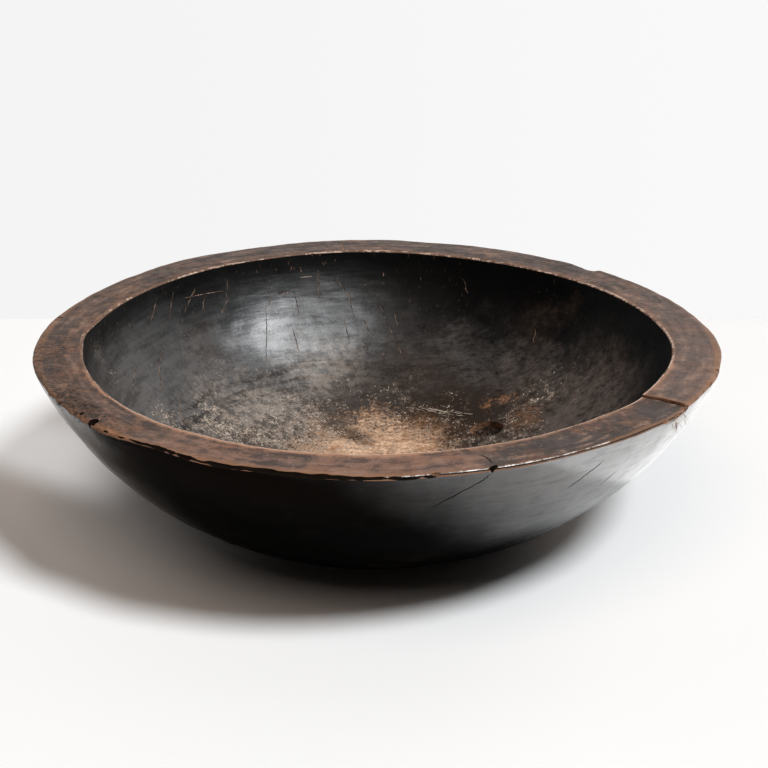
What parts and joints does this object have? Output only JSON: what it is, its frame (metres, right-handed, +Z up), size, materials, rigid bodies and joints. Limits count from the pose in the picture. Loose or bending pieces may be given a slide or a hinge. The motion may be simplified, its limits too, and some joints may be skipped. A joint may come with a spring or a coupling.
{
  "type": "dairy bowl",
  "caption": "Wide shallow turned wooden bowl with a flat rim and flat foot, dark with age, split at the rim, with a dead knot in its floor; held milk to let the cream rise.",
  "frame": {"origin": "under the middle of the foot, on the surface that the bowl stands on", "axes": "+Z up out of the mouth, -Y towards the viewer of the picture, +X to the viewer's right"},
  "size_m": [0.4496, 0.4466, 0.1254],
  "materials": {
    "aged_wood": "dark worn patina, satin outside, bare wood in the floor",
    "knot_wood": "dry dark end grain"
  },
  "bodies": {
    "root": {"bowl_body": "aged_wood", "floor_knot": "knot_wood"}
  },
  "joints": []
}
